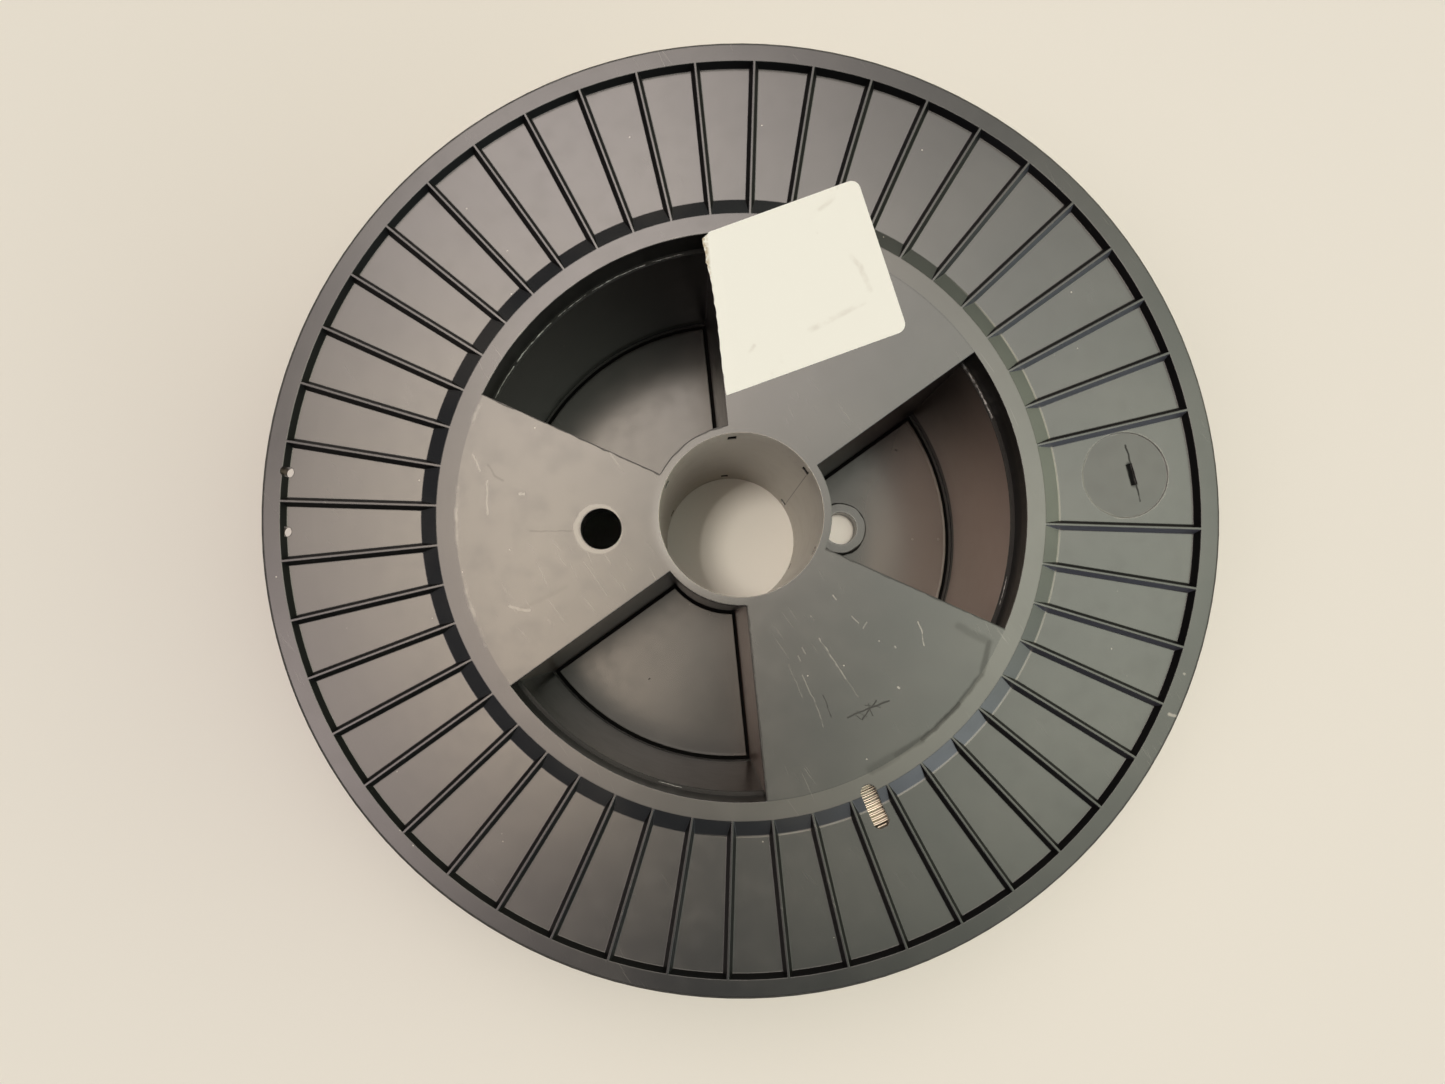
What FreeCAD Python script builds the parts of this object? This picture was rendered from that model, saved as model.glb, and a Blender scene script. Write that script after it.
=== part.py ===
"""Plastic spool of welding wire, 300 mm class, lying flat with its axis upright."""
import FreeCAD, Part
import math
import os

os.makedirs("parts", exist_ok=True)

# Overall sizes in millimetres. The lower flange lies on z = 0 and the spool's axis is the Z axis.
spool_diameter = 300.0
spool_width = 103.0
bore_diameter = 51.5

# Flange: a rim and a flush inner ring with a thin ribbed plate sunk between them. The side walls of the rim
# and of the ribs lean out by wall_lean on their way down to the plate.
rim_wall = 6.0
recess_depth = 3.0
plate_thickness = 3.0
wall_lean = 1.1
ring_width = 5.8
cone_run = 5.4
edge_bevel = 0.8
rib_places = 48
rib_top_width = 0.7

# Collars under the flange, which the barrel and the hub are welded to
collar_ledge = 1.5
collar_depth = 13.0
hub_wall = 2.65
hub_collar_depth = 11.0

# Webs close every other one of six sectors, each with a locating pad on its inner face
sector_count = 6
spoke_thickness = 2.5
web_thickness = 3.0
pad_height = 2.0
pad_gap = 1.3

# Hole for the brake pin of the wire feeder, with its boss inside the spool
drive_hole_diameter = 12.8
drive_hole_place = 44.0
drive_boss_diameter = 20.0
drive_boss_depth = 10.0

# Two small holes at the rim that hold the wire's outer end
wire_hole_diameter = 3.2
wire_hole_inset = 0.9
wire_hole_pitches = (22.5, 23.5)
notch_cover = 1.8

# Slot at the foot of the ring where the wire's inner end is threaded
start_slot_inset = 3.0
start_slot_length = 15.0
start_slot_width = 5.0
start_slot_corner = 1.2
start_slot_pitches = 38.5

# Mould insert mark, in the place of the one rib that is missing, with a short bar that stands slightly turned
mark_diameter = 27.0
mark_place = 122.2
mark_angle = 0.3
mark_sink = 0.3
mark_bar_place = 124.3
mark_bar_turn = 9.5
mark_bar_length = 6.8
mark_bar_width = 2.0
mark_bar_depth = 1.0

# Notches where each spoke meets the hub collar
key_notch_width = 2.8
key_notch_height = 5.0

# Barrel, spokes and hub between the flanges
barrel_outer_diameter = 187.0
barrel_wall = 5.5
weld_gap = 0.15

# Wound wire
winding_diameter = 258.0
winding_bore_gap = 0.15
winding_side_gap = 0.2

# Paper label with a torn left edge, as points in the plane of the upper face
label_thickness = 0.15
label_corner_radius = 3.0
label_lower_right = (57.9, 52.6)
label_upper_right = (47.2, 102.1)
label_torn_edge = [
    (-0.8, 89.8), (-3.2, 87.8), (-2.7, 79.3), (-1.7, 70.8), (-1.2, 59.4), (-1.3, 48.2), (-0.8, 37.7),
]

# Sizes that follow from the ones above
outer_radius = spool_diameter / 2
rim_inner_radius = outer_radius - rim_wall
flange_thickness = recess_depth + plate_thickness
bore_radius = bore_diameter / 2
hub_radius = bore_radius + hub_wall
barrel_outer_radius = barrel_outer_diameter / 2
barrel_inner_radius = barrel_outer_radius - barrel_wall
collar_inner_radius = barrel_inner_radius + collar_ledge
ring_radius = collar_inner_radius + ring_width
cone_foot_radius = ring_radius + cone_run
start_slot_inner = collar_inner_radius + start_slot_inset
start_slot_outer = start_slot_inner + start_slot_length
rib_pitch = 360.0 / rib_places
half_sector = 180.0 / sector_count
spoke_angles = [half_sector + i * 2 * half_sector for i in range(sector_count)]
web_angles = [2 * half_sector * (i + 1) for i in range(0, sector_count, 2)]
window_angles = [2 * half_sector * i for i in range(0, sector_count, 2)]
drive_hole_angle = 180.0

# Amount by which a cutting tool or a joined root runs past the face it starts from
overrun = 1.0
UP = FreeCAD.Vector(0, 0, 1)
ORIGIN = FreeCAD.Vector(0, 0, 0)


def polar(radius, angle, z=0.0):
    """Point at a radius and an angle in degrees round the spool's axis."""
    turn = math.radians(angle)
    return FreeCAD.Vector(radius * math.cos(turn), radius * math.sin(turn), z)


def turned(outline):
    """Solid of revolution about the Z axis from (radius, height) corners."""
    points = [FreeCAD.Vector(radius, 0, z) for radius, z in outline]
    wire = Part.makePolygon(points + points[:1])
    return Part.Face(wire).revolve(ORIGIN, UP, 360)


def tube(outer, inner, bottom, top):
    """Plain round tube between two heights."""
    return turned([(inner, bottom), (outer, bottom), (outer, top), (inner, top)])


def prism(corners, bottom, top):
    """Upright prism on a closed outline of (x, y) corners."""
    points = [FreeCAD.Vector(x, y, bottom) for x, y in corners]
    wire = Part.makePolygon(points + points[:1])
    return Part.Face(wire).extrude(FreeCAD.Vector(0, 0, top - bottom))


def round_pin(diameter, place, angle, bottom, top):
    """Upright cylinder at a place round the axis."""
    return Part.makeCylinder(diameter / 2, top - bottom, polar(place, angle, bottom), UP)


def radial_bar(width, inner, outer, angle, bottom, top):
    """Straight bar that runs outward from the axis at an angle."""
    bar = Part.makeBox(outer - inner, width, top - bottom, FreeCAD.Vector(inner, -width / 2, bottom))
    bar.rotate(ORIGIN, UP, angle)
    return bar


def sector_block(angle, side_gap, inner, outer, bottom, top):
    """Part of a tube inside one sector, with its straight sides side_gap inside the sector's borders."""
    apex = polar(side_gap / math.sin(math.radians(half_sector)), angle)
    reach = 2 * outer
    corners = [apex, apex + polar(reach, angle - half_sector), apex + polar(reach, angle + half_sector)]
    wedge = prism([(corner.x, corner.y) for corner in corners], bottom, top)
    return wedge.common(tube(outer, inner, bottom, top))


def below_face(depth):
    """Height of a level that lies some depth under the spool's upper face."""
    return spool_width - depth


def flange_body():
    """Rim, plate, ring, collars and full web disc as one turned shape."""
    return turned([
        (bore_radius, below_face(0)),
        (ring_radius, below_face(0)),
        (cone_foot_radius, below_face(recess_depth)),
        (rim_inner_radius - wall_lean, below_face(recess_depth)),
        (rim_inner_radius, below_face(0)),
        (outer_radius - edge_bevel, below_face(0)),
        (outer_radius, below_face(edge_bevel)),
        (outer_radius, below_face(flange_thickness - edge_bevel)),
        (outer_radius - edge_bevel, below_face(flange_thickness)),
        (barrel_outer_radius, below_face(flange_thickness)),
        (barrel_outer_radius, below_face(collar_depth)),
        (collar_inner_radius, below_face(collar_depth)),
        (collar_inner_radius, below_face(web_thickness)),
        (hub_radius, below_face(web_thickness)),
        (hub_radius, below_face(hub_collar_depth)),
        (bore_radius, below_face(hub_collar_depth)),
    ])


def ribs():
    """Thin radial ribs with leaning sides, with one place left free for the mould mark."""
    inner = ring_radius - overrun
    length = rim_inner_radius + overrun - inner
    half_top = rib_top_width / 2
    half_root = half_top + wall_lean * (recess_depth + overrun) / recess_depth
    top = below_face(0)
    bottom = below_face(recess_depth + overrun)
    section = [(-half_root, bottom), (half_root, bottom), (half_top, top), (-half_top, top)]
    points = [FreeCAD.Vector(inner, y, z) for y, z in section]
    wire = Part.makePolygon(points + points[:1])
    made = []
    for i in range(1, rib_places):
        rib = Part.Face(wire).extrude(FreeCAD.Vector(length, 0, 0))
        rib.rotate(ORIGIN, UP, i * rib_pitch)
        made.append(rib)
    return made


def web_pads():
    """Locating pads on the inner faces of the webs, and the boss round the drive hole."""
    bottom = below_face(web_thickness + pad_height)
    top = below_face(web_thickness - overrun)
    side_gap = spoke_thickness / 2 + pad_gap
    inner = hub_radius + pad_gap
    outer = barrel_inner_radius - pad_gap
    pads = [sector_block(angle, side_gap, inner, outer, bottom, top) for angle in web_angles]
    boss_bottom = below_face(drive_boss_depth)
    pads.append(round_pin(drive_boss_diameter, drive_hole_place, drive_hole_angle, boss_bottom, top))
    return pads


def windows():
    """Open sectors of the web disc."""
    bottom = below_face(web_thickness + overrun)
    top = below_face(-overrun)
    side_gap = spoke_thickness / 2
    return [
        sector_block(angle, side_gap, hub_radius, collar_inner_radius, bottom, top) for angle in window_angles
    ]


def wire_holes():
    """Small holes through the plate against the rim, one open to the top and one under a lip."""
    place = rim_inner_radius - wire_hole_inset
    bottom = below_face(flange_thickness + overrun)
    tops = (below_face(-overrun), below_face(notch_cover))
    pairs = zip(wire_hole_pitches, tops)
    return [round_pin(wire_hole_diameter, place, pitches * rib_pitch, bottom, top) for pitches, top in pairs]


def start_slot():
    """Radial slot with a round inner end and clipped outer corners."""
    half = start_slot_width / 2
    straight_start = start_slot_inner + half
    clip = start_slot_outer - start_slot_corner
    clipped_half = half - start_slot_corner
    bottom = below_face(flange_thickness)
    height = flange_thickness + overrun
    corners = [(straight_start, half), (clip, half), (start_slot_outer, clipped_half),
               (start_slot_outer, -clipped_half), (clip, -half), (straight_start, -half)]
    points = [FreeCAD.Vector(x, y, bottom) for x, y in corners]
    nose = FreeCAD.Vector(start_slot_inner, 0, bottom)
    edges = [Part.LineSegment(a, b).toShape() for a, b in zip(points, points[1:])]
    edges.append(Part.Arc(points[-1], nose, points[0]).toShape())
    slot = Part.Face(Part.Wire(edges)).extrude(FreeCAD.Vector(0, 0, height))
    slot.rotate(ORIGIN, UP, start_slot_pitches * rib_pitch)
    return slot


def mould_mark():
    """Shallow round seat of the mould insert and the short bar sunk at its middle."""
    floor = below_face(recess_depth)
    disc = round_pin(mark_diameter, mark_place, mark_angle, floor - mark_sink, floor + overrun)
    corner = FreeCAD.Vector(-mark_bar_width / 2, -mark_bar_length / 2, floor - mark_bar_depth)
    bar = Part.makeBox(mark_bar_width, mark_bar_length, mark_bar_depth + overrun, corner)
    bar.rotate(ORIGIN, UP, mark_bar_turn)
    bar.translate(polar(mark_bar_place, mark_angle))
    return [disc, bar]


def key_notches():
    """Notches through the hub collar, open at its lower end, one at each spoke."""
    bottom = below_face(hub_collar_depth + overrun)
    top = below_face(hub_collar_depth - key_notch_height)
    inner = bore_radius - overrun
    outer = hub_radius + overrun
    return [radial_bar(key_notch_width, inner, outer, angle, bottom, top) for angle in spoke_angles]


def upper_flange():
    """Whole upper flange as one moulding."""
    body = flange_body().fuse(ribs() + web_pads())
    drive_bottom = below_face(drive_boss_depth + overrun)
    drive_top = below_face(-overrun)
    drive_hole = round_pin(drive_hole_diameter, drive_hole_place, drive_hole_angle, drive_bottom, drive_top)
    cuts = windows() + wire_holes() + key_notches() + mould_mark() + [start_slot(), drive_hole]
    for cut in cuts:
        body = body.cut(cut)
    return body.removeSplitter()


def lower_flange(flange):
    """The same moulding turned over, so that its windows lie under the upper flange's webs."""
    twin = flange.copy()
    twin.rotate(FreeCAD.Vector(0, 0, spool_width / 2), FreeCAD.Vector(0, 1, 0), 180)
    return twin


def barrel_core():
    """Barrel, hub tube and radial spokes as one moulding between the flanges."""
    barrel = tube(barrel_outer_radius, barrel_inner_radius, collar_depth, below_face(collar_depth))
    hub = tube(hub_radius, bore_radius, hub_collar_depth, below_face(hub_collar_depth))
    spoke_start = hub_radius + weld_gap
    spoke_end = collar_inner_radius - weld_gap
    bottom = web_thickness
    top = below_face(web_thickness)
    pieces = [
        radial_bar(spoke_thickness, spoke_start, spoke_end, angle, bottom, top) for angle in spoke_angles
    ]
    root_start = hub_radius - hub_wall / 2
    root_end = spoke_start + overrun
    root_bottom = hub_collar_depth
    root_top = below_face(hub_collar_depth)
    for angle in spoke_angles:
        pieces.append(radial_bar(spoke_thickness, root_start, root_end, angle, root_bottom, root_top))
    return barrel.fuse([hub] + pieces).removeSplitter()


def wire_winding():
    """Layers of wound wire as one turned solid between the plates."""
    bottom = flange_thickness + winding_side_gap
    top = below_face(flange_thickness + winding_side_gap)
    return tube(winding_diameter / 2, barrel_outer_radius + winding_bore_gap, bottom, top)


def label():
    """Thin paper sheet on the upper face, with two rounded corners and a torn left edge."""
    points = [FreeCAD.Vector(x, y, spool_width) for x, y in label_torn_edge]
    lower_right = FreeCAD.Vector(*label_lower_right, spool_width)
    upper_right = FreeCAD.Vector(*label_upper_right, spool_width)
    outline = points + [lower_right, upper_right]
    edges = []
    start = outline[0]
    for i, corner in enumerate(outline[1:], 1):
        following = outline[(i + 1) % len(outline)]
        if corner in (lower_right, upper_right):
            towards_last = (start - corner).normalize()
            towards_next = (following - corner).normalize()
            half_turn = towards_last.getAngle(towards_next) / 2
            setback = label_corner_radius / math.tan(half_turn)
            middle = (towards_last + towards_next).normalize()
            depth = label_corner_radius / math.sin(half_turn) - label_corner_radius
            arc_start = corner + towards_last * setback
            arc_end = corner + towards_next * setback
            edges.append(Part.LineSegment(start, arc_start).toShape())
            edges.append(Part.Arc(arc_start, corner + middle * depth, arc_end).toShape())
            start = arc_end
        else:
            edges.append(Part.LineSegment(start, corner).toShape())
            start = corner
    edges.append(Part.LineSegment(start, outline[0]).toShape())
    return Part.Face(Part.Wire(edges)).extrude(UP * label_thickness)


flange = upper_flange()
nodes = {
    "upper_flange": flange,
    "lower_flange": lower_flange(flange),
    "barrel_core": barrel_core(),
    "wire_winding": wire_winding(),
    "label": label(),
}
for name, shape in nodes.items():
    solids = shape.Solids
    print(name, "solids", len(solids), "valid", shape.isValid(), "volume", round(shape.Volume, 1))
    shape.exportStep("parts/" + name + ".step")
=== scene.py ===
"""A 300 mm plastic spool of welding wire, lying flat on a pale bench and seen from above."""
import math

import bmesh
import bpy
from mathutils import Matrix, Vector, noise


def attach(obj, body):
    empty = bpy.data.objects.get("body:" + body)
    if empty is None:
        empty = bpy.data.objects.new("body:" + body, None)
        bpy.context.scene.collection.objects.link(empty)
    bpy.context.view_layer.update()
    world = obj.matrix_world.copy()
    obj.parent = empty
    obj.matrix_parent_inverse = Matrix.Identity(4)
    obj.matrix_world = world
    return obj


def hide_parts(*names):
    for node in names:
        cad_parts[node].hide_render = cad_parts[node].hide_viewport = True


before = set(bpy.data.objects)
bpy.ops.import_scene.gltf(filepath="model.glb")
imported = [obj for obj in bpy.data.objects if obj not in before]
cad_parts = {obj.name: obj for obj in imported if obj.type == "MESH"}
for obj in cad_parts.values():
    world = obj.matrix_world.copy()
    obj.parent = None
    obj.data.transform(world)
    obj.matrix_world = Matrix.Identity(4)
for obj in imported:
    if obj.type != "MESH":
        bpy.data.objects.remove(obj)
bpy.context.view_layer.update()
MM = 0.001

# Camera: the photograph looks almost straight down from 335 mm over the spool, a little below and to the left
# of its axis. The spool lies turned so that the mould mark points slightly above the picture's right.
camera_place = (-18.1 * MM, -33.9 * MM, 438.3 * MM)
camera_turn = (math.radians(1.638), math.radians(-0.231), math.radians(-5.79))
sensor_width = 36.0
focal_length = 26.81
camera_data = bpy.data.cameras.new("camera")
camera_data.sensor_width = sensor_width
camera_data.lens = focal_length
camera_data.shift_x = 0.0163
camera_data.shift_y = 0.0386
camera_data.clip_start = 0.01
camera = bpy.data.objects.new("camera", camera_data)
camera.location = camera_place
camera.rotation_euler = camera_turn
scene = bpy.context.scene
scene.collection.objects.link(camera)
scene.camera = camera
scene.view_settings.view_transform = "Standard"

# Bench: a plain pale matt top, much wider than the picture.
bench_size = 3.0
bench_colour = (0.86, 0.83, 0.78, 1.0)
bench_roughness = 0.9


def node(tree, kind, feeds=(), **settings):
    """One shader node: feeds link or fill its sockets by name or number, settings are its own properties."""
    made = tree.nodes.new("ShaderNode" + kind)
    for name, value in settings.items():
        setattr(made, name, value)
    for socket, value in dict(feeds).items():
        if isinstance(value, bpy.types.NodeSocket):
            tree.links.new(value, made.inputs[socket])
        else:
            made.inputs[socket].default_value = value
    return made


def new_material(name):
    """An empty material with its Principled shader, and the Object coordinates that its patterns read."""
    material = bpy.data.materials.new(name)
    material.use_nodes = True
    tree = material.node_tree
    tree.nodes.clear()
    shader = node(tree, "BsdfPrincipled")
    node(tree, "OutputMaterial", {"Surface": shader.outputs["BSDF"]})
    place = node(tree, "TexCoord").outputs["Object"]
    return material, tree, shader, place


def piece_from(form, name, material):
    """Turns a bmesh into a piece of the scene, with its faces pointing outwards."""
    bmesh.ops.recalc_face_normals(form, faces=form.faces)
    mesh = bpy.data.meshes.new(name)
    form.to_mesh(mesh)
    form.free()
    mesh.materials.append(material)
    piece = bpy.data.objects.new(name, mesh)
    scene.collection.objects.link(piece)
    return piece


bench_board, tree, shader, place = new_material("bench_board")
shader.inputs["Base Color"].default_value = bench_colour
shader.inputs["Roughness"].default_value = bench_roughness
shader.inputs["Specular IOR Level"].default_value = 0.2
form = bmesh.new()
bmesh.ops.create_grid(form, x_segments=1, y_segments=1, size=bench_size / 2)
bench = piece_from(form, "bench", bench_board)

# Light: a dome of soft patches, which the polished faces mirror. High ones hang over the upper left and the
# right and low ones stand at the lower right. One narrow lamp shines into the bore from the upper left,
# another straight down on the lower flange's drive hole, so that the bench shows bright through both.
dome_patches = [
    ((-0.08, 0.45, 1.0), 0.20, (3.7, 3.25, 3.0)),
    ((-0.15, 0.13, 1.0), 0.10, (3.8, 3.2, 2.4)),
    ((-0.56, -0.13, 1.0), 0.19, (2.9, 2.45, 2.3)),
    ((-0.15, -0.06, 1.0), 0.07, (3.1, 2.5, 1.9)),
    ((0.44, 0.06, 1.0), 0.17, (1.85, 1.9, 1.6)),
    ((0.29, -0.20, 1.0), 0.15, (1.0, 1.02, 0.82)),
    ((0.12, 0.25, 1.0), 0.10, (0.9, 0.85, 0.75)),
    ((0.35, 0.29, 1.0), 0.09, (0.45, 0.45, 0.42)),
    ((2.27, -2.48, 1.0), 0.26, (1.15, 1.25, 1.35)),
    ((4.45, 0.48, 1.0), 0.45, (1.4, 1.5, 1.1)),
]
dome_base = (0.035, 0.05, 0.075)


def maths(tree, operation, first, second=0.0):
    """One sum on values."""
    return node(tree, "Math", {0: first, 1: second}, operation=operation).outputs[0]


def product(tree, *values):
    """Several values or masks multiplied."""
    result = values[0]
    for value in values[1:]:
        result = maths(tree, "MULTIPLY", result, value)
    return result


def vectors(tree, operation, first, second=(0, 0, 0)):
    """One sum on vectors that gives a vector."""
    return node(tree, "VectorMath", {0: first, 1: second}, operation=operation).outputs[0]


def scaled(tree, vector, scale):
    """A vector or colour multiplied by one value."""
    return node(tree, "VectorMath", {0: vector, "Scale": scale}, operation="SCALE").outputs[0]


def along_line(tree, first, second):
    """The dot product of two vectors."""
    return node(tree, "VectorMath", {0: first, 1: second}, operation="DOT_PRODUCT").outputs["Value"]


def soft_patch(tree, direction, towards, spread, colour):
    """Light from a soft round patch of the dome: full in its middle, fading over spread radians."""
    depth = maths(tree, "SUBTRACT", along_line(tree, direction, Vector(towards).normalized()), 1.0)
    glow = maths(tree, "EXPONENT", product(tree, depth, 1 / spread ** 2))
    return scaled(tree, colour, glow)


world = bpy.data.worlds.new("studio_dome")
world.use_nodes = True
dome = world.node_tree
dome.nodes.clear()
direction = node(dome, "TexCoord").outputs["Generated"]
light = node(dome, "CombineXYZ", {"X": dome_base[0], "Y": dome_base[1], "Z": dome_base[2]}).outputs[0]
for towards, spread, colour in dome_patches:
    patch = soft_patch(dome, direction, towards, spread, colour)
    light = vectors(dome, "ADD", light, patch)
background = node(dome, "Background", {"Color": light})
node(dome, "OutputWorld", {"Surface": background.outputs[0]})
scene.world = world
lamp_colour = (1.0, 0.94, 0.83)
for name, lamp_place, aim, energy, cone, lamp_size in (
        ("bore_lamp", (-0.1, 0.03, 0.75), (0.0, 0.0, 0.103), 8.5, 3.8, 0.008),
        ("hole_lamp", (0.044, 0.0, 0.75), (0.044, 0.0, 0.0), 10.0, 0.95, 0.001)):
    lamp_data = bpy.data.lights.new(name, "SPOT")
    lamp_data.energy = energy
    lamp_data.color = lamp_colour
    lamp_data.shadow_soft_size = lamp_size
    lamp_data.spot_size = math.radians(cone)
    lamp_data.spot_blend = 0.15
    lamp = bpy.data.objects.new(name, lamp_data)
    lamp.location = lamp_place
    lamp.rotation_euler = (Vector(aim) - lamp.location).to_track_quat("-Z", "Y").to_euler()
    scene.collection.objects.link(lamp)

# Spool plastic: flanges and barrel core are injection moulded in dark satin polystyrene and welded together.
# The flat faces are polished and scratched, the side walls duller, with dust and grime; painted shade darkens
# the gaps, joints and shaded walls, and painted highlights and reflections lighten some faces.
plastic_colour = (0.02, 0.019, 0.017, 1.0)
haze_colour = (0.04, 0.037, 0.032, 1.0)
# Pale colour of dust, scratches and wear, and of the painted highlights.
dust_and_highlight_colour = (0.42, 0.39, 0.34, 1.0)
# Near black for grime and for painted shade.
grime_and_shade_colour = (0.006, 0.006, 0.006, 1.0)
# Painted brown reflection on the barrel wall, the spokes and the right pocket's outer floor.
brown_reflection_colour = (0.45, 0.33, 0.27, 1.0)
# Painted light: the bore wall is painted pale, for the bright bench that it mirrors.
bore_light_colour = (0.3, 0.265, 0.22, 1.0)
# Painted bluish sheen on the ribs' walls that face the light.
rib_sheen_colour = (0.25, 0.26, 0.33, 1.0)
half_width = 51.5
line_shake = 1.1
line_core = 0.25
edge_radius = 0.4
ripple_height = 0.4
face_roughness, wall_roughness = 0.2, 0.28
grime_and_shade_roughness, scratch_and_glint_roughness = 0.6, 0.5
top, pad_face, seat_face, bar_floor, boss_face = 103.0, 5.0, 99.7, 99.0, 10.0
light_marks = [
    ((20.2, -40.8), (27.2, -54.3), top, 0.35, 0.45), ((13.7, -51.7), (16.9, -60.4), top, 0.3, 0.35),
    ((16.9, -60.4), (18.8, -68.2), top, 0.25, 0.25), ((25.9, -27.9), (26.7, -29.5), top, 0.35, 0.5),
    ((31.1, -35.0), (32.8, -37.3), top, 0.35, 0.4), ((34.2, -39.0), (35.3, -37.3), top, 0.35, 0.4),
    ((13.1, -45.7), (13.9, -47.3), top, 0.35, 0.3), ((14.6, -43.3), (15.6, -45.3), top, 0.35, 0.3),
    ((51.4, -38.9), (52.3, -42.1), top, 0.3, 0.8), ((52.3, -42.1), (52.5, -46.2), top, 0.3, 0.7),
    ((27.2, -54.3), (30.5, -60.2), top, 0.25, 0.2), ((9.8, -48.0), (13.2, -58.5), top, 0.25, 0.2),
    ((18.4, -33.7), (19.2, -35.0), top, 0.4, 0.4), ((43.1, -58.4), (43.4, -58.7), top, 0.5, 0.8),
    ((43.2, -45.9), (43.4, -46.2), top, 0.5, 0.6), ((-68.4, 13.4), (-66.8, 13.3), top, 0.6, 0.6),
    ((-81.5, 27.3), (-79.6, 21.9), top, 0.5, 0.3), ((-77.9, 18.5), (-78.9, 8.0), top, 0.5, 0.35),
    ((-74.6, -21.4), (-68.9, -23.2), top, 0.7, 0.3), ((126.2, -75.3), (128.0, -76.1), top, 0.7, 0.9),
    ((132.2, -63.4), (132.3, -63.5), top, 0.6, 0.7),
]
dark_marks = [
    ((19.6, -58.5), (21.4, -65.5), top, 0.35, 0.5), ((26.6, -66.1), (32.8, -64.2), top, 0.45, 0.6),
    ((32.8, -64.2), (39.5, -62.4), top, 0.45, 0.65), ((30.9, -67.3), (35.8, -61.9), top, 0.45, 0.6),
    ((33.4, -62.6), (34.1, -66.5), top, 0.35, 0.5), ((28.6, -65.2), (30.4, -67.1), top, 0.3, 0.5),
    ((32.2, -62.9), (36.9, -64.0), top, 0.3, 0.5), ((29.6, -64.5), (32.4, -66.6), top, 0.3, 0.4),
    # The next four rows are painted shade lines along the webs' edges at the pockets and around the hub
    # collar.
    ((-24.1, 15.1), (-77.0, 45.7), top, 0.45, 0.6), ((25.2, -13.3), (78.1, -43.9), top, 0.45, 0.5),
    ((-1.05, -28.6), (-1.05, -89.3), top, 0.45, 0.6),
    ((-1.5, 28.3), (-7.3, 27.4), top, 0.45, 0.6), ((-7.3, 27.4), (-14.2, 24.5), top, 0.45, 0.6),
    ((-14.2, 24.5), (-20.0, 20.0), top, 0.45, 0.6), ((-20.0, 20.0), (-23.8, 15.4), top, 0.45, 0.6),
    ((-77.2, 23.4), (-75.6, 20.1), top, 0.5, 0.2),
    ((-75.6, 20.1), (-73.0, 18.0), top, 0.5, 0.2), ((-66.1, 1.5), (-52.8, 0.2), top, 0.35, 0.22),
    ((-71.5, -22.4), (-56.6, -17.0), top, 1.0, 0.08), ((63.7, -41.5), (72.9, -47.4), top, 1.8, 0.25),
    ((72.9, -47.4), (69.5, -57.0), top, 1.4, 0.4), ((69.5, -57.0), (61.4, -65.3), top, 1.2, 0.45),
    ((61.4, -65.3), (56.6, -69.7), top, 1.2, 0.6), ((56.6, -69.7), (48.8, -75.2), top, 1.2, 0.55),
    ((48.8, -75.2), (40.2, -79.3), top, 1.6, 0.4), ((40.2, -79.3), (32.0, -83.0), top, 2.2, 0.25),
    ((70.3, 29.7), (70.4, 29.6), pad_face, 0.9, 0.7), ((72.9, -6.8), (73.0, -6.9), pad_face, 0.7, 0.7),
    ((83.4, -7.9), (83.5, -8.0), pad_face, 0.8, 0.7), ((-38.0, -52.0), (-38.4, -52.3), pad_face, 0.5, 0.6),
    # The last row: a line across the mould mark's disc, and the mark's slot painted dark as shade.
    ((123.5, 10.0), (126.2, -8.1), seat_face, 0.45, 0.8), ((123.8, 3.8), (124.8, -2.5), bar_floor, 1.6, 1.0),
]
light_rings = [((-45.0, 0.0, top), 6.9, 1.2, 0.5), ((122.2, 0.6, 100.0), 13.55, 0.5, 0.25)]
# Painted shade rings at the foot and the top edge of the drive boss in the right pocket.
boss_shade_rings = [((44.0, 0.0, pad_face), 10.3, 0.8, 0.9), ((44.0, 0.0, boss_face), 9.9, 0.5, 0.7)]
cone_foot = ((0.0, 0.0, 100.0), 100.6, 0.5)
pad_edge = ((0.0, 0.0, pad_face), 86.4, 0.8)
lit_side = (0.85, -0.5, 0.0)
lit_facing = (0.3, -0.95, 0.0)
spoke_across = (-0.5, 0.866, 0.0)
weld_seam = ((0.0, 0.0, top), 89.1, 1.0)
zones = {
    "pad_gaps": ((2.75, 3.4, 0.3), (28.3, 88.3, 0.1)), "recess": ((0.25, 2.8, 0.2), (96.0, 144.5, 0.3)),
    "ledge": ((12.8, 13.1, 0.1), (87.9, 89.7, 0.1)), "notches": ((5.9, 12.0, 0.1), (26.1, 28.35, 0.1)),
    "collar": ((0.7, 12.9, 0.3), (89.3, 89.8, 0.1)), "floors": ((4.8, 5.2, 0.1), (28.3, 85.4, 0.4)),
    "right_floor": ((4.8, 5.2, 0.1), (60.0, 85.4, 12.0)),
}
ring_start = 89.2
outward_slope = math.tan(math.radians(2.4))
mark_middle = (122.2, 0.6, seat_face)
mark_radius = 13.5
start_point = ("Point", "Vector", (0, 0, 0))
stroke_inputs = [
    start_point, ("From", "Vector", (0, 0, 0)), ("Along", "Vector", (1, 0, 0)),
    ("Width", "Float", 0.001), ("Strength", "Float", 1.0),
]
ring_inputs = [
    start_point, ("Middle", "Vector", (0, 0, 0)), ("Radius", "Float", 0.01),
    ("Width", "Float", 0.001), ("Strength", "Float", 1.0),
]
speck_inputs = [start_point, ("Scale", "Float", 400.0), ("Share", "Float", 0.2), ("Size", "Float", 0.1)]
patch_inputs = [start_point, ("Scale", "Float", 30.0), ("Low", "Float", 0.4), ("High", "Float", 0.6)]
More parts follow.
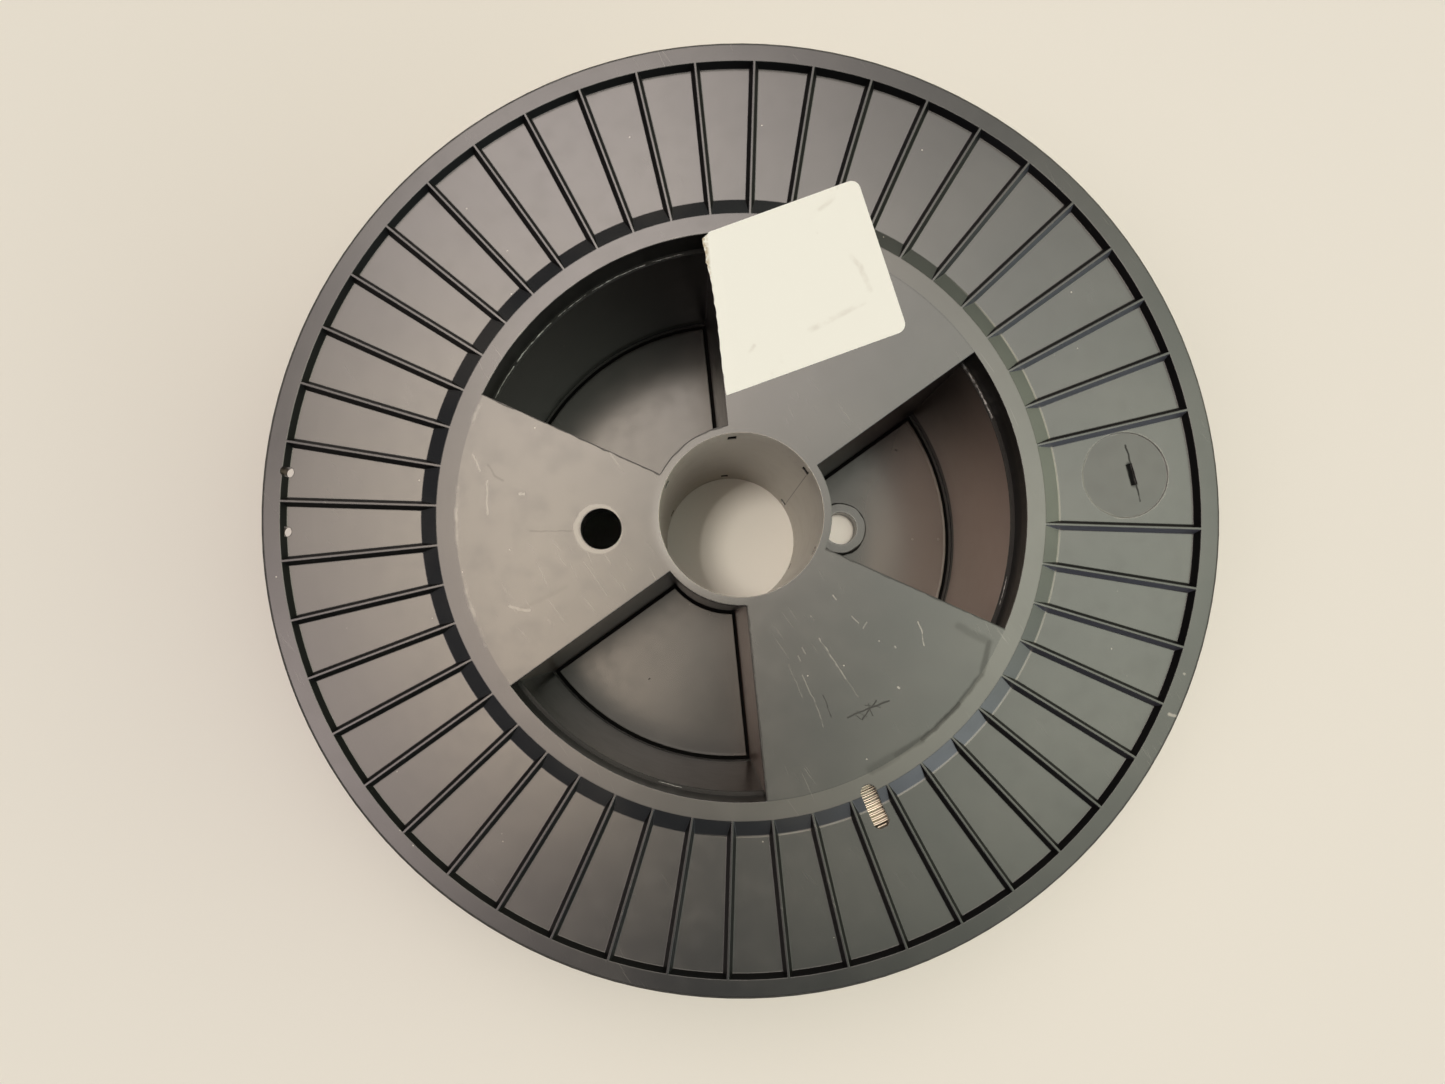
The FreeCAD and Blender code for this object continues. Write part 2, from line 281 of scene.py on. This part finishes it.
scratch_inputs = [start_point, ("Turn", "Float", 0.0), ("Low", "Float", 0.65)]


def new_group(name, inputs, output):
    """An empty node group with its inputs as (name, socket kind, value) and one value put out."""
    group = bpy.data.node_groups.new(name, "ShaderNodeTree")
    for label, kind, value in inputs:
        socket = group.interface.new_socket(name=label, in_out="INPUT", socket_type="NodeSocket" + kind)
        socket.default_value = value
    group.interface.new_socket(name=output, in_out="OUTPUT", socket_type="NodeSocketFloat")
    given = group.nodes.new("NodeGroupInput").outputs
    result = group.nodes.new("NodeGroupOutput").inputs[0]
    return group, given, result


def effect(tree, group, feeds):
    """One use of a shared group, which hands back its mask or value."""
    return node(tree, "Group", feeds, node_tree=group).outputs[0]


def fade(tree, value, low, high, at_low=0.0, at_high=1.0):
    """A smooth change from one value to another while the fed value goes from low to high."""
    feeds = {"Value": value, "From Min": low, "From Max": high, "To Min": at_low, "To Max": at_high}
    return node(tree, "MapRange", feeds, interpolation_type="SMOOTHSTEP").outputs[0]


def between(tree, value, low, high, soft, full=1.0):
    """A mask that is full while the fed value lies between low and high, fading over soft on both sides."""
    entry = fade(tree, value, low - soft, low, 0.0, full)
    return fade(tree, value, high, high + soft, entry, 0.0)


def blend(tree, mask, colour, over):
    """One colour mixed over another by a mask."""
    return node(tree, "Mix", {0: mask, 6: colour, 7: over}, data_type="RGBA").outputs[2]


def length(tree, vector):
    """How long a vector is."""
    return node(tree, "VectorMath", {0: vector}, operation="LENGTH").outputs["Value"]


def axis_distance(tree, place):
    """How far a point is from the spool's axis."""
    return length(tree, vectors(tree, "MULTIPLY", place, (1, 1, 0)))


stroke, given, result = new_group("stroke", stroke_inputs, "Mask")
start = vectors(stroke, "SUBTRACT", given["Point"], given["From"])
whole = along_line(stroke, given["Along"], given["Along"])
ahead = along_line(stroke, start, scaled(stroke, given["Along"], maths(stroke, "DIVIDE", 1.0, whole)))
part = node(stroke, "Clamp", {0: ahead}).outputs[0]
feeds = {0: start, 1: scaled(stroke, given["Along"], part)}
gap = node(stroke, "VectorMath", feeds, operation="DISTANCE").outputs["Value"]
core = product(stroke, given["Width"], line_core)
stroke.links.new(fade(stroke, gap, core, given["Width"], given["Strength"], 0.0), result)

ring_line, given, result = new_group("ring_line", ring_inputs, "Mask")
apart = vectors(ring_line, "SUBTRACT", given["Point"], given["Middle"])
off = maths(ring_line, "SUBTRACT", axis_distance(ring_line, apart), given["Radius"])
off = maths(ring_line, "ABSOLUTE", off)
height = maths(ring_line, "ABSOLUTE", node(ring_line, "SeparateXYZ", {0: apart}).outputs["Z"])
near = fade(ring_line, height, 0.6 * MM, 1.2 * MM, given["Strength"], 0.0)
core = product(ring_line, given["Width"], line_core)
ring_line.links.new(fade(ring_line, off, core, given["Width"], near, 0.0), result)

specks, given, result = new_group("specks", speck_inputs, "Mask")
cells = node(specks, "TexVoronoi", {"Vector": given["Point"], "Scale": given["Scale"]})
share = maths(specks, "DIVIDE", cells.outputs["Distance"], given["Size"])
dots = fade(specks, share, 0.6, 1.0, 1.0, 0.0)
pick = node(specks, "SeparateColor", {0: cells.outputs["Color"]}).outputs[0]
chosen = maths(specks, "LESS_THAN", pick, given["Share"])
specks.links.new(product(specks, dots, chosen), result)

patches, given, result = new_group("patches", patch_inputs, "Value")
feeds = {"Vector": given["Point"], "Scale": given["Scale"], "Detail": 3.0}
cloud = node(patches, "TexNoise", feeds).outputs[0]
patches.links.new(fade(patches, cloud, given["Low"], given["High"]), result)

scratches, given, result = new_group("scratches", scratch_inputs, "Mask")
feeds = {"Vector": given["Point"], "Angle": given["Turn"]}
turned = node(scratches, "VectorRotate", feeds, rotation_type="Z_AXIS").outputs[0]
drawn = vectors(scratches, "MULTIPLY", turned, (70, 1800, 70))
lines = node(scratches, "TexNoise", {"Vector": drawn, "Scale": 1.0, "Detail": 1.0}).outputs[0]
high = maths(scratches, "ADD", given["Low"], 0.06)
lines = fade(scratches, lines, given["Low"], high)
where = node(scratches, "TexNoise", {"Vector": given["Point"], "Scale": 30.0, "Detail": 1.0}).outputs[0]
scratches.links.new(product(scratches, lines, fade(scratches, where, 0.48, 0.68)), result)

spool_plastic, tree, shader, place = new_material("spool_plastic")
shader.distribution = "GGX"
shader.inputs["IOR"].default_value = 1.59
shader.inputs["Specular IOR Level"].default_value = 1.0
normal = node(tree, "NewGeometry").outputs["Normal"]
level_face = maths(tree, "ABSOLUTE", node(tree, "SeparateXYZ", {0: normal}).outputs["Z"])
reach = maths(tree, "DIVIDE", axis_distance(tree, place), MM)
across = node(tree, "SeparateXYZ", {0: place})
height = maths(tree, "DIVIDE", across.outputs["Z"], MM)
from_middle = maths(tree, "ABSOLUTE", maths(tree, "SUBTRACT", height, half_width))
depth = maths(tree, "SUBTRACT", half_width, from_middle)
shake = node(tree, "TexNoise", {"Vector": place, "Scale": 250.0, "Detail": 3.0}).outputs["Color"]
shake = scaled(tree, vectors(tree, "SUBTRACT", shake, (0.5, 0.5, 0.5)), line_shake * MM)
wavy_place = vectors(tree, "ADD", place, shake)


def ring_on(point, ring, strength):
    """The mask of one ring line, given as its middle, radius and width."""
    middle, radius, width = ring
    feeds = {
        "Point": point, "Middle": Vector(middle) * MM, "Radius": radius * MM, "Width": width * MM,
        "Strength": strength,
    }
    return effect(tree, ring_line, feeds)


# Marks: single strokes and rings, with a shaking outline.
masks = []
for marks, rings in ((light_marks, light_rings), (dark_marks, boss_shade_rings)):
    mask = 0.0
    for (x1, y1), (x2, y2), z, width, strength in marks:
        feeds = {
            "Point": wavy_place, "From": Vector((x1, y1, z)) * MM,
            "Along": Vector((x2 - x1, y2 - y1, 0)) * MM, "Width": width * MM, "Strength": strength,
        }
        mask = maths(tree, "MAXIMUM", effect(tree, stroke, feeds), mask)
    for middle, radius, width, strength in rings:
        mask = maths(tree, "MAXIMUM", ring_on(wavy_place, (middle, radius, width), strength), mask)
    masks.append(mask)
light_mask, dark_mask = masks

# Light lines: scattered scratches in two directions, the glints along the foot of the cone and along the
# edge of the right pocket's pad, and the weld seam.
fine_scratches = 0.0
for turn, low in ((60, 0.70), (72, 0.72)):
    lines = effect(tree, scratches, {"Point": place, "Turn": math.radians(turn), "Low": low})
    fine_scratches = maths(tree, "MAXIMUM", lines, fine_scratches)
polished = product(tree, fade(tree, level_face, 0.98, 1.0), fade(tree, depth, 0.2, 0.5, 0.2, 0.05))
light_mask = maths(tree, "MAXIMUM", light_mask, product(tree, fine_scratches, polished))
side = along_line(tree, place, lit_side)
# Painted highlight: a glint along the foot of the cone, on the right side only.
foot = ring_on(place, cone_foot, fade(tree, side, 0.025, 0.055, 0.0, 0.6))
light_mask = maths(tree, "MAXIMUM", light_mask, foot)
# Painted highlight: a glint along the edge of the right pocket's pad.
edge = ring_on(place, pad_edge, fade(tree, side, 0.045, 0.065, 0.0, 0.9))
light_mask = maths(tree, "MAXIMUM", light_mask, edge)
worn = effect(tree, patches, {"Point": place, "Scale": 120.0, "Low": 0.4, "High": 0.7})
rubbed = product(tree, worn, fade(tree, side, -0.05, -0.03, 0.35, 0.0))
light_mask = maths(tree, "MAXIMUM", light_mask, ring_on(wavy_place, weld_seam, rubbed))


def zone(name):
    """The mask of one zone, by its limits of depth and of distance from the axis."""
    depths, reaches = zones[name]
    return between(tree, reach, *reaches, full=between(tree, depth, *depths))


# Painted shade, in the same dark mask as the grime: in the gaps beside the locating pads, on the steep walls
# of the ribbed recess (less where they face the light on the right), on the collar and the weld ledge under
# the flange, in the notches of the hub collar, thinly on the floors of the pockets (more in the right one),
# on the barrel wall's back and on one spoke of the right pocket. The rim's outer edge is darkened as well.
steep = fade(tree, level_face, 0.4, 0.75, 1.0, 0.0)
pad_gaps = zone("pad_gaps")
facing = along_line(tree, normal, lit_facing)
# How far a rib wall on the right faces the light: there the painted shade is less and a painted bluish sheen
# goes on.
lit_wall_share = product(tree, fade(tree, facing, 0.3, 0.8, 0.0, 0.6), fade(tree, side, 0.0, 0.05))
rib_walls = product(tree, zone("recess"), steep)
recess = product(tree, rib_walls, maths(tree, "SUBTRACT", 0.75, lit_wall_share))
ledge = product(tree, zone("ledge"), 0.7)
notches = zone("notches")
outer_edge = product(tree, fade(tree, reach, 149.0, 149.5), fade(tree, depth, 1.2, 1.6, 0.8, 0.0))
collar = product(tree, zone("collar"), fade(tree, across.outputs["Y"], -0.08, -0.05, 0.2, 0.65))
floors = product(tree, zone("floors"), fade(tree, side, 0.0, 0.03, 0.1, 0.35))
wall = product(tree, between(tree, reach, 87.6, 88.3, 0.2), fade(tree, depth, 13.2, 13.6))
barrel_back = product(tree, wall, fade(tree, side, -0.06, -0.03, 0.55, 0.0))
across_spoke = along_line(tree, place, spoke_across)
spoke = between(tree, across_spoke, -1.35 * MM, -1.1 * MM, 0.1 * MM)
spoke = product(tree, spoke, fade(tree, side, 0.0, 0.01), steep, fade(tree, depth, 3.2, 3.6, 0.0, 0.65))
for mask in (pad_gaps, recess, ledge, notches, outer_edge, collar, floors, barrel_back, spoke):
    dark_mask = maths(tree, "MAXIMUM", dark_mask, mask)

# Colours: hazed plastic with dust; a painted brown reflection on the barrel wall, the spokes and the outer
# floor of the right pocket; a painted bluish sheen on the ribs' lit walls; the bore painted pale as if lit; a
# painted sheen on the ring towards the right; and the marks, painted highlights, grime and painted shade over
# all of them.
seat = length(tree, vectors(tree, "SUBTRACT", place, Vector(mark_middle) * MM))
seat = fade(tree, seat, (mark_radius - 0.3) * MM, (mark_radius + 0.3) * MM, 1.0, 0.0)
haze = effect(tree, patches, {"Point": place, "Scale": 28.0, "Low": 0.35, "High": 0.7})
fine_haze = effect(tree, patches, {"Point": place, "Scale": 160.0, "Low": 0.4, "High": 0.75})
dust = effect(tree, specks, {"Point": place, "Scale": 260.0, "Share": 0.07, "Size": 0.08})
colour = blend(tree, haze, plastic_colour, haze_colour)
# Painted reflection: brown on the barrel wall, more on the right, on the spokes and on the outer floor of the
# right pocket.
brown = maths(tree, "ADD", fade(tree, side, -0.03, 0.0, 0.0, 0.15), fade(tree, side, 0.045, 0.08, 0.0, 0.85))
colour = blend(tree, product(tree, wall, brown), colour, brown_reflection_colour)
spokes = product(tree, between(tree, reach, 28.5, 87.4, 0.1), fade(tree, depth, 3.2, 3.6), steep)
spokes = product(tree, spokes, fade(tree, across.outputs["X"], -0.02, -0.005, 0.25, 0.8))
spokes = product(tree, spokes, fade(tree, across.outputs["Y"], -0.02, -0.01, 1.0, 0.0))
colour = blend(tree, spokes, colour, brown_reflection_colour)
right_floor = product(tree, zone("right_floor"), fade(tree, side, 0.03, 0.06, 0.0, 0.35))
colour = blend(tree, right_floor, colour, brown_reflection_colour)
# Painted reflection: a bluish sheen on the ribs' lit walls.
colour = blend(tree, product(tree, rib_walls, lit_wall_share), colour, rib_sheen_colour)
# Painted light: the bore wall in the pale colour.
colour = blend(tree, fade(tree, reach, 25.8, 26.0, 1.0, 0.0), colour, bore_light_colour)
# Painted sheen: the ring band outside the weld seam is lighter towards the right.
ring_sheen = product(tree, between(tree, reach, 89.7, 95.2, 0.3), fade(tree, depth, 0.2, 0.5, 1.0, 0.0))
ring_sheen = product(tree, ring_sheen, fade(tree, side, -0.05, 0.02, 0.0, 0.16))
colour = blend(tree, maths(tree, "MAXIMUM", dust, ring_sheen), colour, dust_and_highlight_colour)
# Scratches, wear and painted highlights in the pale colour.
colour = blend(tree, light_mask, colour, dust_and_highlight_colour)
# Grime and painted shade in near black.
colour = blend(tree, dark_mask, colour, grime_and_shade_colour)
tree.links.new(colour, shader.inputs["Base Color"])

# Shine: duller on the side walls, under haze, on the mark's seat, in grime and painted shade, and on
# scratches and glints. Grime and painted shade are made metallic as well, because a metallic black mirrors
# almost nothing and stays nearly black.
rough = fade(tree, level_face, 0.7, 0.98, wall_roughness, face_roughness)
rough = maths(tree, "ADD", rough, product(tree, fine_haze, 0.04))
rough = maths(tree, "ADD", rough, product(tree, seat, 0.1))
rough = maths(tree, "MAXIMUM", rough, product(tree, dark_mask, grime_and_shade_roughness))
rough = maths(tree, "MAXIMUM", rough, product(tree, light_mask, scratch_and_glint_roughness))
tree.links.new(rough, shader.inputs["Roughness"])
tree.links.new(product(tree, dark_mask, 0.95), shader.inputs["Metallic"])

# Relief: softly rounded edges, the ring's slope outwards and a slight ripple of the moulded faces.
rounded = node(tree, "Bevel", {"Radius": edge_radius * MM}, samples=4).outputs[0]
fall = fade(tree, depth, 0.02, 0.05, -outward_slope * MM, 0.0)
slope = product(tree, fall, maths(tree, "MAXIMUM", maths(tree, "SUBTRACT", reach, ring_start), 0.0))
sloped = node(tree, "Bump", {"Height": slope, "Strength": 1.0, "Distance": 1.0, "Normal": rounded}).outputs[0]
ripple = node(tree, "TexNoise", {"Vector": place, "Scale": 45.0, "Detail": 2.0}).outputs[0]
feeds = {"Height": ripple, "Strength": 0.15, "Distance": ripple_height * MM, "Normal": sloped}
bump = node(tree, "Bump", feeds)
tree.links.new(bump.outputs[0], shader.inputs["Normal"])
for name in ("upper_flange", "lower_flange", "barrel_core"):
    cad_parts[name].data.materials[0] = spool_plastic

# Wound wire: the turns of 0.9 mm wire lie close beside each other on the outer side, and the ends of the
# layers show at both flanges, every other layer a little further in. It takes the place of the plain winding.
wire_size = 0.9
layer_step = 0.779
layer_inset = 0.45
wind_bottom, wind_top = 6.2, 96.8
wind_inner, wind_outer = 93.65, 129.0
wire_steps = 96
turn_sway = 0.09
wire_colour = (0.7, 0.625, 0.51, 1.0)
wire_shade = (0.53, 0.46, 0.37, 1.0)
wire_roughness = (0.22, 0.36)
layers = int((wind_outer - wind_inner - wire_size) / layer_step) + 1
turns = int((wind_top - wind_bottom) / wire_size)
turn_step = (wind_top - wind_bottom) / turns


def layer_end(radius):
    """How far the wound layers' ends stand short of the flange at a radius."""
    best = wire_size
    for layer in range(layers):
        off = radius - (wind_inner + wire_size / 2 + layer * layer_step)
        if abs(off) < wire_size / 2:
            dip = wire_size / 2 - math.sqrt(wire_size ** 2 / 4 - off ** 2)
            best = min(best, dip + layer_inset * (layer % 2))
    return best


outline = [(wind_inner, wind_bottom + wire_size)]
ends = [wind_inner + 0.1 + i * layer_step / 4 for i in range(layers * 4)]
outline += [(radius, wind_bottom + layer_end(radius)) for radius in ends]
for turn in range(turns):
    middle = wind_bottom + (turn + 0.5) * turn_step
    for off in (-0.48, -0.3, 0.0, 0.3):
        bulge = math.sqrt(max(0.0, 0.25 - off ** 2)) - 0.5
        outline.append((wind_outer + bulge * wire_size, middle + off * turn_step))
outline += [(radius, wind_top - layer_end(radius)) for radius in reversed(ends)]
outline.append((wind_inner, wind_top - wire_size))
form = bmesh.new()
corners = [form.verts.new((radius * MM, 0.0, z * MM)) for radius, z in outline]
edges = [form.edges.new((a, b)) for a, b in zip(corners, corners[1:] + corners[:1])]
bmesh.ops.spin(form, geom=corners + edges, cent=(0, 0, 0), axis=(0, 0, 1), angle=2 * math.pi,
               steps=wire_steps, use_merge=True)
for vertex in form.verts:
    radius = math.hypot(vertex.co.x, vertex.co.y)
    if radius > (wind_inner + 0.5) * MM:
        turn = round((vertex.co.z / MM - wind_bottom) / turn_step)
        layer = round((radius / MM - wind_inner) / layer_step)
        unit = Vector((vertex.co.x, vertex.co.y, 0.0)) / radius
        sway = noise.noise(unit * 2.5 + Vector((turn * 7.3, layer * 3.1, 0.0)))
        vertex.co -= unit * (turn_sway * abs(sway) * MM)
for face in form.faces:
    face.smooth = True
welding_wire, tree, shader, place = new_material("welding_wire")
across = node(tree, "SeparateXYZ", {0: place})
coil = node(tree, "CombineXYZ", {"X": axis_distance(tree, place), "Y": across.outputs["Z"]}).outputs[0]
tone = effect(tree, patches, {"Point": coil, "Scale": 900.0, "Low": 0.35, "High": 0.65})
cloud = effect(tree, patches, {"Point": place, "Scale": 120.0, "Low": 0.3, "High": 0.7})
colour = blend(tree, product(tree, tone, 0.5), wire_colour, wire_shade)
tree.links.new(colour, shader.inputs["Base Color"])
tree.links.new(fade(tree, cloud, 0.0, 1.0, *wire_roughness), shader.inputs["Roughness"])
shader.inputs["Metallic"].default_value = 1.0
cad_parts["wire_winding"].data.materials[0] = welding_wire
wire_turns = piece_from(form, "wire_turns", welding_wire)
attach(wire_turns, "root")
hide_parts("wire_winding")

# Paper label: a white sheet on the upper face with two rounded corners. Its left side is torn off unevenly,
# and the paper lifts a little there and bends at a crease near the upper right corner. Nothing is printed.
paper_thickness = 0.15
paper_level = 103.0
corner_radius = 3.0
paper_right = [(57.9, 52.6), (47.2, 102.1)]
paper_torn = [
    (-0.8, 89.8), (-3.2, 87.8), (-2.7, 79.3), (-1.7, 70.8), (-1.2, 59.4), (-1.3, 48.2), (-0.8, 37.7),
]
paper_colour = (0.92, 0.92, 0.86, 1.0)
paper_roughness = 0.6
fibre_colour = (0.5, 0.42, 0.3, 1.0)
smudge_colour = (0.55, 0.5, 0.44, 1.0)
smudge_strength = 0.35
tear_start, tear_width, tear_raggedness, tear_lift = -3.0, 6.0, 0.7, 0.25
crease_from, crease_along = Vector((40.8, 99.9, 0)), Vector((-6.3, -6.7, 0)).normalized()
crease_start, crease_width, crease_height = 90, 1.2, 0.12
paper_waviness = 0.04
smudges = [
    # The first two smudges run along the crease and darken it.
    ((40.8, 99.9), (39.0, 96.6), 0.5), ((39.0, 96.6), (34.5, 93.2), 1.2), ((32.8, 86.2), (32.9, 86.0), 0.5),
    ((41.0, 79.8), (45.2, 74.2), 1.2), ((45.2, 74.2), (47.5, 66.4), 1.4), ((45.2, 62.8), (36.6, 59.2), 1.3),
    ((36.6, 59.2), (27.4, 55.6), 1.4), ((17.5, 48.4), (17.6, 46.5), 0.9), ((14.2, 43.3), (14.4, 43.5), 0.9),
    ((8.0, 50.6), (9.5, 52.5), 0.9),
]
form = bmesh.new()
corners = [form.verts.new((x * MM, y * MM, paper_level * MM)) for x, y in paper_torn + paper_right]
form.faces.new(corners)
bmesh.ops.bevel(form, geom=corners[-2:], offset=corner_radius * MM, segments=6, profile=0.5,
                affect="VERTICES", material=-1)
for direction, count, reach in (((0, 1, 0), 44, (38, 102)), ((1, 0, 0), 24, (-3, 57))):
    for i in range(1, count):
        level = reach[0] + (reach[1] - reach[0]) * i / count
        cut = Vector(direction) * level * MM
        bmesh.ops.bisect_plane(form, geom=form.verts[:] + form.edges[:] + form.faces[:], plane_co=cut,
                               plane_no=direction, dist=1e-7)
for vertex in form.verts:
    x, y = vertex.co.x / MM, vertex.co.y / MM
    from_tear = max(0.0, 1.0 - (x - tear_start) / tear_width)
    ragged = noise.noise(Vector((y * 0.9, 3.0, 0.0))) + 0.5 * noise.noise(Vector((y * 2.6, 9.0, 0.0)))
    vertex.co.x += tear_raggedness * ragged * from_tear ** 2 * MM
    lift = tear_lift * from_tear ** 2 * (0.6 + noise.noise(Vector((y * 0.12, 1.0, 0.0))))
    off_crease = abs((Vector((x, y, 0)) - crease_from).cross(crease_along).z)
    if y > crease_start:
        lift += crease_height * max(0.0, 1.0 - off_crease / crease_width)
    lift += paper_waviness * (1 + noise.noise(Vector((x * 0.15, y * 0.15, 5.0))))
    vertex.co.z += lift * MM
bmesh.ops.recalc_face_normals(form, faces=form.faces)
bmesh.ops.solidify(form, geom=form.faces[:], thickness=-paper_thickness * MM)
label_paper, tree, shader, place = new_material("label_paper")
mask = 0.0
for (x1, y1), (x2, y2), width in smudges:
    from_point = Vector((x1, y1, paper_level)) * MM
    along = Vector((x2 - x1, y2 - y1, 0.0)) * MM
    line = effect(tree, stroke, {"Point": place, "From": from_point, "Along": along, "Width": width * MM})
    mask = maths(tree, "MAXIMUM", line, mask)
cloud = effect(tree, patches, {"Point": place, "Scale": 260.0, "Low": 0.3, "High": 0.8})
mask = product(tree, mask, cloud, smudge_strength)
colour = blend(tree, mask, paper_colour, smudge_colour)
across = node(tree, "SeparateXYZ", {0: place})
edge_x = maths(tree, "DIVIDE", across.outputs["X"], MM)
tear = fade(tree, edge_x, -2.6, -1.2, 1.0, 0.0)
fibres = effect(tree, patches, {"Point": place, "Scale": 700.0, "Low": 0.35, "High": 0.6})
colour = blend(tree, product(tree, tear, fibres), colour, fibre_colour)
tree.links.new(colour, shader.inputs["Base Color"])
shader.inputs["Roughness"].default_value = paper_roughness
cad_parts["label"].data.materials[0] = label_paper
torn_label = piece_from(form, "torn_label", label_paper)
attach(torn_label, "root")
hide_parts("label")

# Weld flash: thin pale fringes of plastic pressed out of the joint between the upper collar and the barrel.
# They stand on the small ledge inside the windows, broken along the back one and thick in the right one.
ledge_level = 90.0
flash_radius = 88.7
flash_runs = [
    (96.0, 103.0, 0.35), (104.5, 117.0, 0.45), (118.5, 126.0, 0.4), (128.0, 139.0, 0.5), (140.0, 149.5, 0.4),
    (16.0, 30.0, 0.9), (-24.0, -18.0, 0.3), (247.0, 252.0, 0.3),
]
flash_colour = (0.85, 0.84, 0.8, 1.0)
flash_roughness = 0.5
form = bmesh.new()
for first, last, width in flash_runs:
    unit = Vector((math.cos(math.radians(first)), math.sin(math.radians(first)), 0.0))
    section = [(-width / 2, -0.05), (width / 2, -0.05), (width / 4, width / 2), (-width / 4, width / 2)]
    points = [unit * (flash_radius + off) + Vector((0, 0, ledge_level + z)) for off, z in section]
    corners = [form.verts.new(point * MM) for point in points]
    edges = [form.edges.new((a, b)) for a, b in zip(corners, corners[1:] + corners[:1])]
    bmesh.ops.spin(form, geom=corners + edges, cent=(0, 0, 0), axis=(0, 0, 1),
                   angle=math.radians(last - first), steps=int((last - first) * 2))
bmesh.ops.holes_fill(form, edges=[edge for edge in form.edges if edge.is_boundary], sides=4)
for vertex in form.verts:
    radius = math.hypot(vertex.co.x, vertex.co.y)
    angle = math.degrees(math.atan2(vertex.co.y, vertex.co.x))
    swell = max(0.15, 0.6 + 0.7 * noise.noise(Vector((angle * 0.9, 2.0, 0.0))))
    middle = (flash_radius + 0.25 * noise.noise(Vector((angle * 0.5, 4.0, 0.0)))) * MM
    moved = middle + (radius - flash_radius * MM) * swell
    vertex.co.x *= moved / radius
    vertex.co.y *= moved / radius
    vertex.co.z = ledge_level * MM + (vertex.co.z - ledge_level * MM) * swell
flash_plastic, tree, shader, place = new_material("flash_plastic")
tone = effect(tree, patches, {"Point": place, "Scale": 500.0, "Low": 0.3, "High": 0.7})
tree.links.new(blend(tree, tone, flash_colour, haze_colour), shader.inputs["Base Color"])
shader.inputs["Roughness"].default_value = flash_roughness
weld_flash = piece_from(form, "weld_flash", flash_plastic)
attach(weld_flash, "root")
